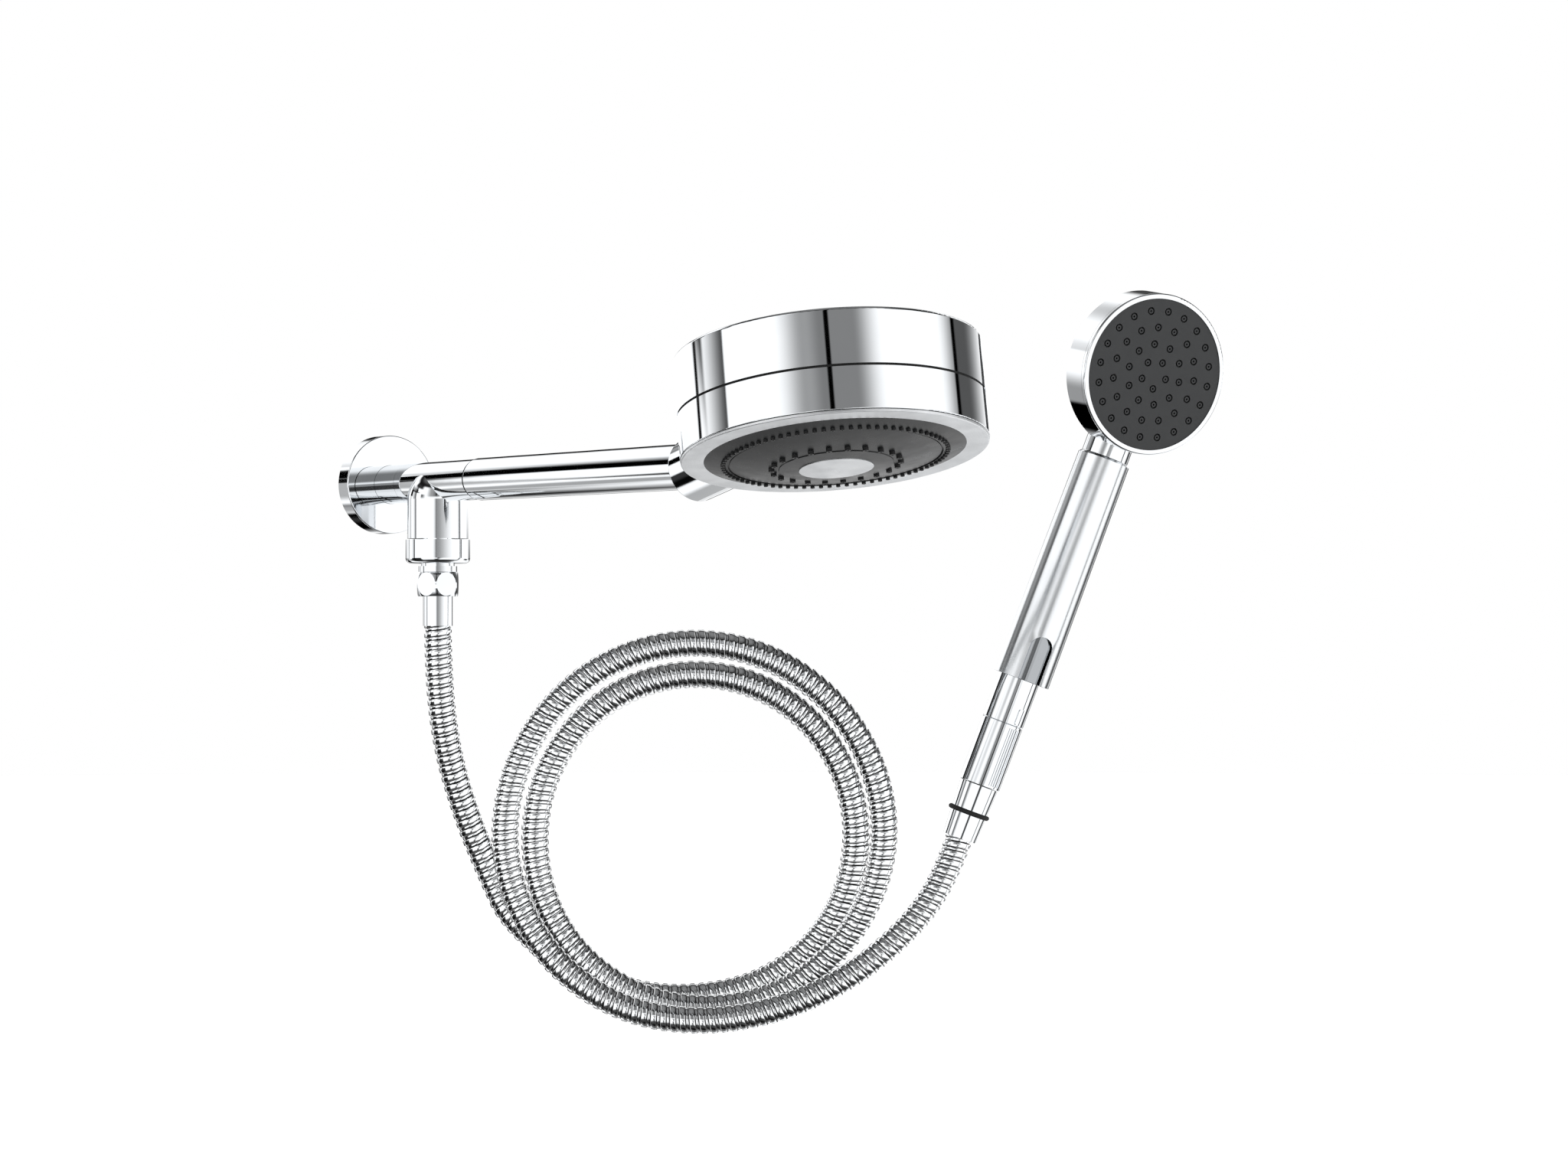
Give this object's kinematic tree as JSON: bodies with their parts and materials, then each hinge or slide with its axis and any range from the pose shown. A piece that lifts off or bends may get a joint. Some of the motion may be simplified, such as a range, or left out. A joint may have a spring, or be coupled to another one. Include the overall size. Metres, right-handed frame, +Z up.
{
  "type": "shower set",
  "caption": "Wall shower set: an arm with a tee, a tilting overhead drum head, and a hand shower on a coiled metal hose.",
  "frame": {"origin": "where the inlet pipe's axis meets the wall face, at the back of the flange", "axes": "+Z up, the arm runs along -Y away from the wall, +X to the right seen from the wall's front"},
  "size_m": [0.4001, 0.4899, 0.3808],
  "materials": {
    "plated_brass": "polished",
    "plated_plastic": "polished",
    "satin_ring": "satin",
    "bare_brass": "satin",
    "hose_skin": "polished",
    "black_rubber": "matte",
    "white_plastic": "satin",
    "screw_steel": "satin",
    "dark_plate": "satin",
    "dark_face": "matte",
    "dark_silicone": "matte"
  },
  "bodies": {
    "fixed": {"wall_nipple": "plated_brass", "wall_flange": "plated_brass", "flange_seal": "black_rubber", "tee_body": "plated_brass", "outlet_nipple": "plated_brass", "arm_seal_ring": "black_rubber", "arm_tube": "plated_brass", "arm_inner_pipe": "white_plastic", "ball_stem": "plated_brass", "hose_washer": "black_rubber", "hose_ferrule": "plated_brass", "hose_lead": "hose_skin", "hose_coil": "hose_skin", "hose_tail": "hose_skin", "hose_insert": "bare_brass"},
    "diverter": {"diverter_collar": "plated_brass", "diverter_spool": "bare_brass"},
    "hose_nut": {"hose_hex_nut": "plated_brass"},
    "ball_seal": {"ball_seal": "white_plastic"},
    "head": {"swivel_boss": "plated_plastic", "flow_restrictor": "white_plastic", "head_cover": "plated_plastic", "head_base": "plated_plastic", "head_gasket": "black_rubber", "distributor": "white_plastic", "cover_screw_1": "screw_steel", "cover_screw_2": "screw_steel", "cover_screw_3": "screw_steel"},
    "selector": {"rim_ring": "satin_ring", "spray_plate": "dark_plate", "outer_nozzle_ring": "black_rubber", "inner_nozzle_ring": "black_rubber", "centre_cap": "plated_plastic"},
    "handset": {"conical_nut": "plated_plastic", "cone_o_ring": "black_rubber", "inlet_filter": "white_plastic", "handle_core": "white_plastic", "check_valve": "white_plastic", "inner_tube": "plated_plastic", "index_key": "plated_plastic", "grip_sleeve": "plated_plastic", "sleeve_liner": "plated_plastic", "handset_shell": "plated_plastic", "handset_rim": "plated_plastic", "handset_face": "dark_face", "handset_nozzles": "dark_silicone", "handset_distributor": "white_plastic", "handset_seal": "black_rubber", "face_screw": "screw_steel"},
    "flow_ring": {"flow_ring": "plated_plastic"}
  },
  "joints": [
    {"name": "diverter_turn", "type": "hinge", "parent": "fixed", "child": "diverter", "pos_m": [0, -0.059, -0.035], "axis": [0, 0, 1], "range_deg": [0, 90]},
    {"name": "hose_nut_turn", "type": "hinge", "parent": "fixed", "child": "hose_nut", "pos_m": [0, -0.059, -0.05], "axis": [0, 0, 1], "continuous": true},
    {"name": "head_swing", "type": "hinge", "parent": "fixed", "child": "ball_seal", "pos_m": [0, -0.305, 0], "axis": [0, 0, 1], "range_deg": [-8, 8]},
    {"name": "head_tilt", "type": "hinge", "parent": "ball_seal", "child": "head", "pos_m": [0, -0.305, 0], "axis": [1, 0, 0], "range_deg": [-2.5, 26]},
    {"name": "spray_select", "type": "hinge", "parent": "head", "child": "selector", "pos_m": [0, -0.40491, 0.02197], "axis": [0.0541, 0.2144, 0.9752], "range_deg": [0, 45]},
    {"name": "handset_swivel", "type": "hinge", "parent": "fixed", "child": "handset", "pos_m": [0.21836, -0.2102, -0.1812], "axis": [0.2879, -0.1994, 0.9367], "continuous": true},
    {"name": "flow_turn", "type": "hinge", "parent": "handset", "child": "flow_ring", "pos_m": [0.23161, -0.21937, -0.13811], "axis": [0.2879, -0.1994, 0.9367], "range_deg": [0, 90]}
  ]
}
